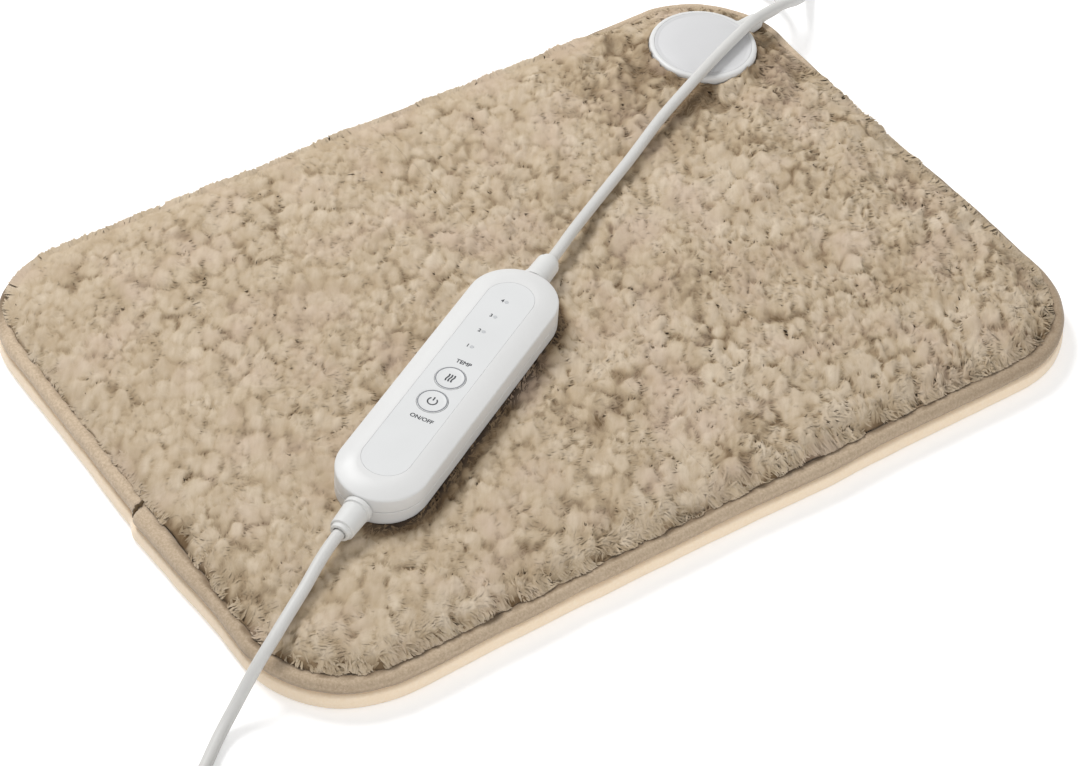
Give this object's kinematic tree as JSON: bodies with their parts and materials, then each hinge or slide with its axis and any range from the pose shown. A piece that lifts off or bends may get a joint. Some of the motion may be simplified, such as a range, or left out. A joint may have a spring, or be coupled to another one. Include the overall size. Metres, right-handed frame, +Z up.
{
  "type": "heating pad with in-line controller",
  "caption": "Rounded rectangular electric heating pad with a curly plush top, cloth edge binding, round lead hub, in-line button controller and coiled mains lead.",
  "frame": {"origin": "on the table under the middle of the pad's underside", "axes": "+Z up, +X along the pad's long side towards the round lead hub, +Y towards the long edge that the hub is near"},
  "size_m": [0.596, 0.4514, 0.0403],
  "materials": {
    "plush_pile": "curly beige teddy pile, matt",
    "binding_cloth": "soft velour binding, matt",
    "backing_cloth": "pale brushed cloth, matt",
    "wadding": "white polyester wadding",
    "carrier_cloth": "thin stitched carrier cloth",
    "wire_sleeve": "silicone sleeve",
    "dark_plastic": "black moulded plastic",
    "white_shell": "white satin moulded plastic",
    "white_panel": "white satin film",
    "circuit_board": "green solder mask",
    "ceramic": "cream ceramic",
    "capacitor_case": "yellow film capacitor case",
    "led_lens": "amber diode lens",
    "light_pipe": "clear moulded light pipe",
    "screw_steel": "zinc-plated steel",
    "white_rubber": "white soft plastic",
    "cord_jacket": "white cord jacket, satin",
    "tie_band": "white hook-and-loop tie",
    "pin_nickel": "nickel-plated brass"
  },
  "bodies": {
    "pad": {"backing_cover": "backing_cloth", "edge_binding": "binding_cloth", "plush_top": "plush_pile", "lower_wadding": "wadding", "heater_carrier": "carrier_cloth", "heating_wire": "wire_sleeve", "thermostat_a": "dark_plastic", "thermostat_b": "dark_plastic", "hub_base": "white_shell", "hub_rim": "white_shell", "hub_lid": "white_shell", "hub_board": "circuit_board", "hub_thermal_fuse": "ceramic", "hub_gland": "white_rubber", "hub_tail": "cord_jacket", "hub_screw_1": "screw_steel", "hub_screw_2": "screw_steel", "hub_screw_3": "screw_steel", "controller_base": "white_shell", "controller_cover": "white_shell", "face_panel": "white_panel", "controller_screw_1": "screw_steel", "controller_screw_2": "screw_steel", "controller_screw_3": "screw_steel", "controller_screw_4": "screw_steel", "temp_switch": "dark_plastic", "power_switch": "dark_plastic", "light_pipe_1": "light_pipe", "indicator_led_1": "led_lens", "light_pipe_2": "light_pipe", "indicator_led_2": "led_lens", "light_pipe_3": "light_pipe", "indicator_led_3": "led_lens", "light_pipe_4": "light_pipe", "indicator_led_4": "led_lens", "control_board": "circuit_board", "mains_terminal": "dark_plastic", "pad_terminal": "dark_plastic", "triac": "dark_plastic", "capacitor": "capacitor_case", "microcontroller": "dark_plastic", "board_fuse": "ceramic", "pad_boot": "white_rubber", "pad_tail": "cord_jacket", "mains_boot": "white_rubber", "mains_tail": "cord_jacket", "mains_lead_coil": "cord_jacket", "coil_tie": "tie_band", "plug_boot": "white_rubber", "plug_body": "white_shell", "plug_pin_a": "pin_nickel", "plug_pin_b": "pin_nickel", "pad_lead": "cord_jacket", "mains_lead_run": "cord_jacket"},
    "temp_button": {"temp_button": "white_panel", "temp_plunger": "dark_plastic"},
    "power_button": {"power_button": "white_panel", "power_plunger": "dark_plastic"}
  },
  "joints": [
    {"name": "temp_button_press", "type": "slide", "parent": "pad", "child": "temp_button", "axis": [0, 0, -1], "range_m": [0, 0.0006], "stiffness_N_per_m": 1500},
    {"name": "power_button_press", "type": "slide", "parent": "pad", "child": "power_button", "axis": [0, 0, -1], "range_m": [0, 0.0006], "stiffness_N_per_m": 1500}
  ]
}
